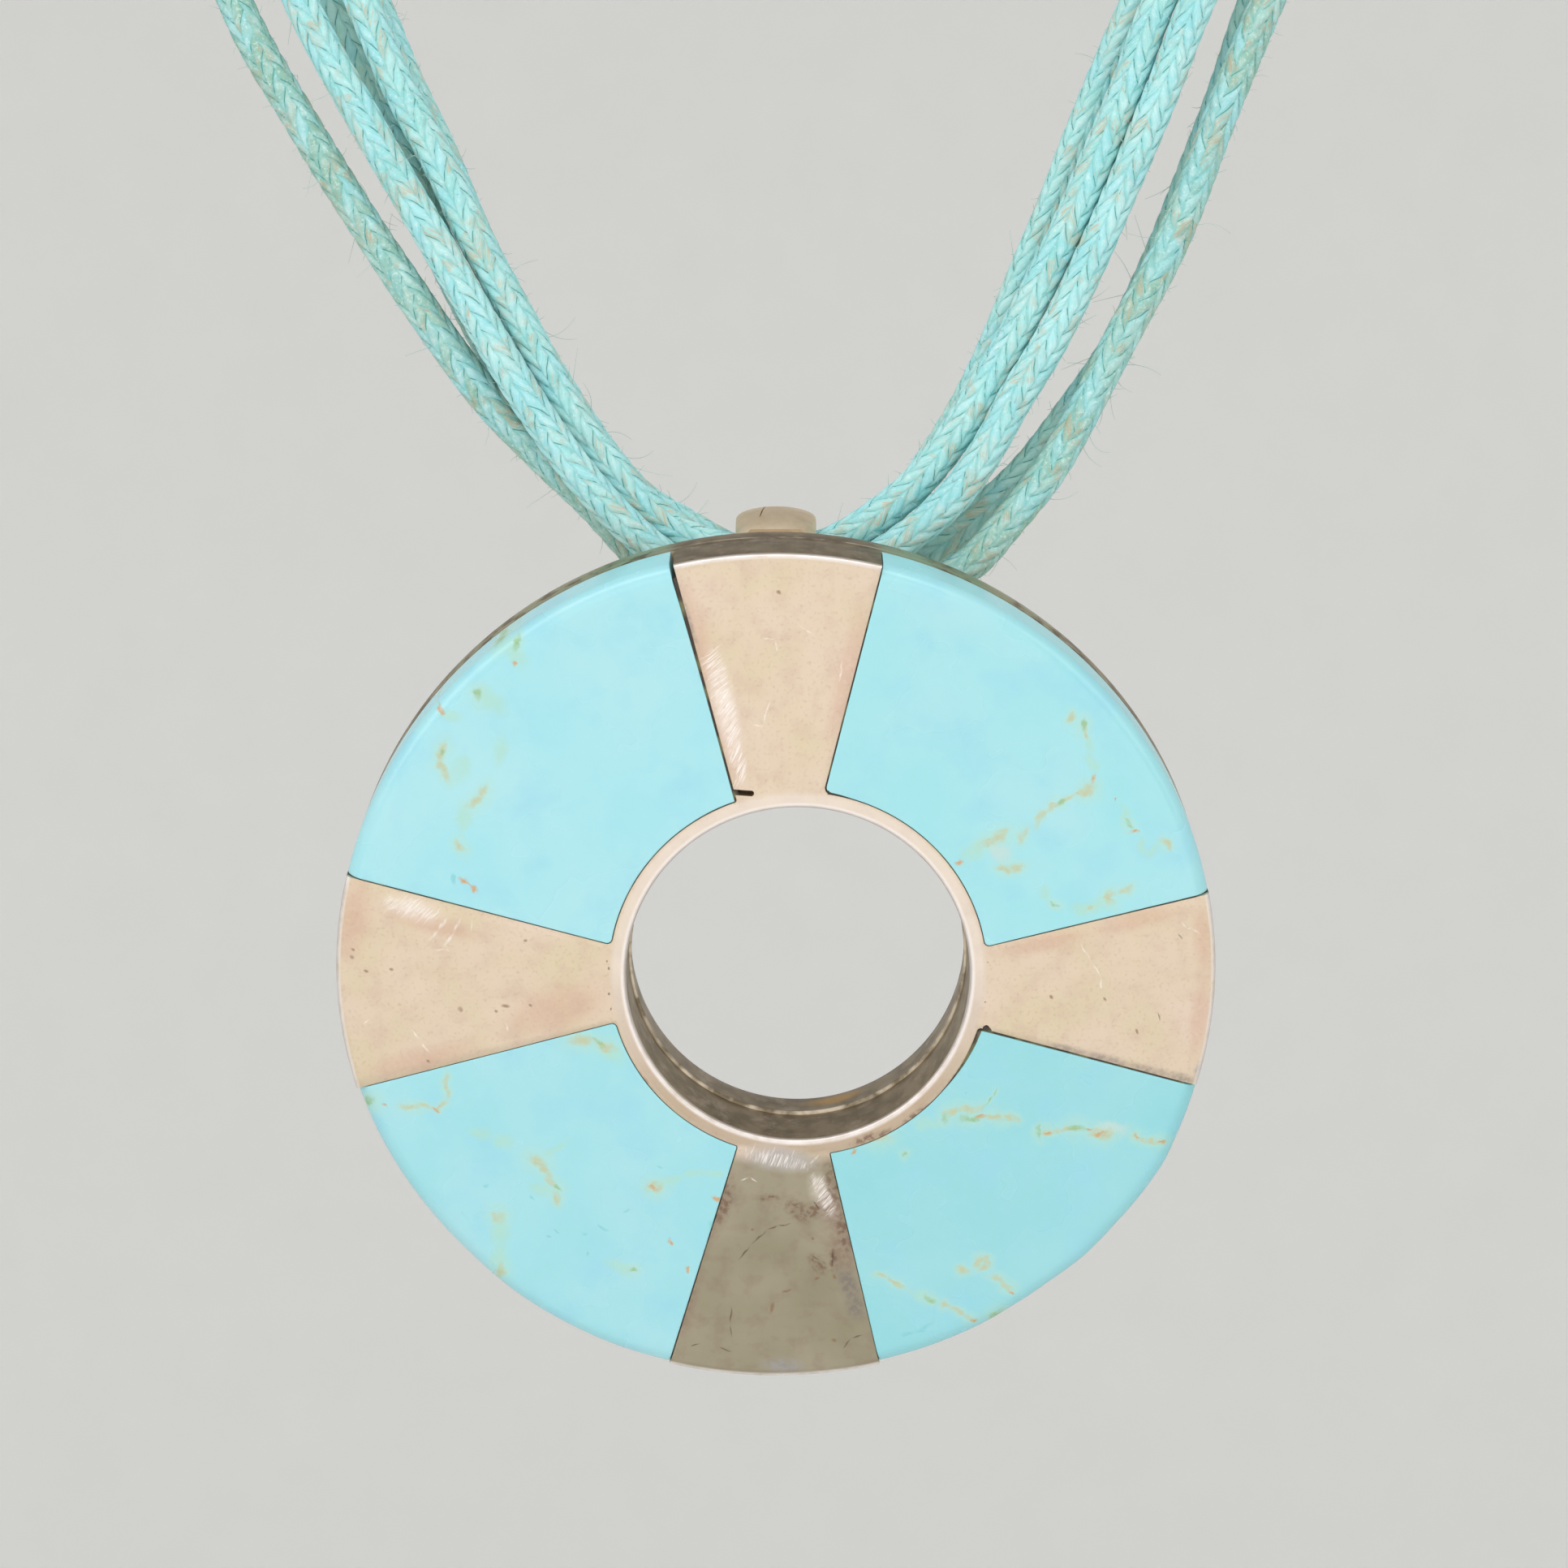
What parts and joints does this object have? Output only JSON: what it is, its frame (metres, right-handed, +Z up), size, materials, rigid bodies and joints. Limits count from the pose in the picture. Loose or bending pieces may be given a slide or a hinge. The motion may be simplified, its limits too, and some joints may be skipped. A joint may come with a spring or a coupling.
{
  "type": "multi-strand cord necklace with inlaid ring pendant",
  "caption": "Pendant necklace: a thick silver ring disc inlaid with turquoise slabs, hung by a strap bail on braided cotton cords that close in a barrel clasp.",
  "frame": {"origin": "the nape point: the underside of the barrel clasp, where the loop sits on the back of a neck", "axes": "+Z up, +X to the viewer's right, +Y away from the viewer, from the pendant's face to its back"},
  "size_m": [0.12, 0.0204, 0.2208],
  "materials": {
    "silver": "worn satin sterling silver, warm and lightly tarnished, olive brown on the walls",
    "turquoise": "polished light blue turquoise with tan and green matrix",
    "cotton": "waxed aqua cotton cord, braided, slightly fuzzy"
  },
  "bodies": {
    "cords": {"cord_strand_1": "cotton", "cord_strand_2": "cotton", "cord_strand_3": "cotton", "cord_strand_4": "cotton", "cord_strand_5": "cotton", "clasp": "silver"},
    "pendant": {"pendant_setting": "silver", "inlay_upper_left": "turquoise", "inlay_upper_right": "turquoise", "inlay_lower_left": "turquoise", "inlay_lower_right": "turquoise"}
  },
  "joints": [
    {"name": "pendant_swing", "type": "hinge", "parent": "cords", "child": "pendant", "pos_m": [0, 0, -0.1658], "axis": [1, 0, 0], "range_deg": [-25, 45]}
  ]
}
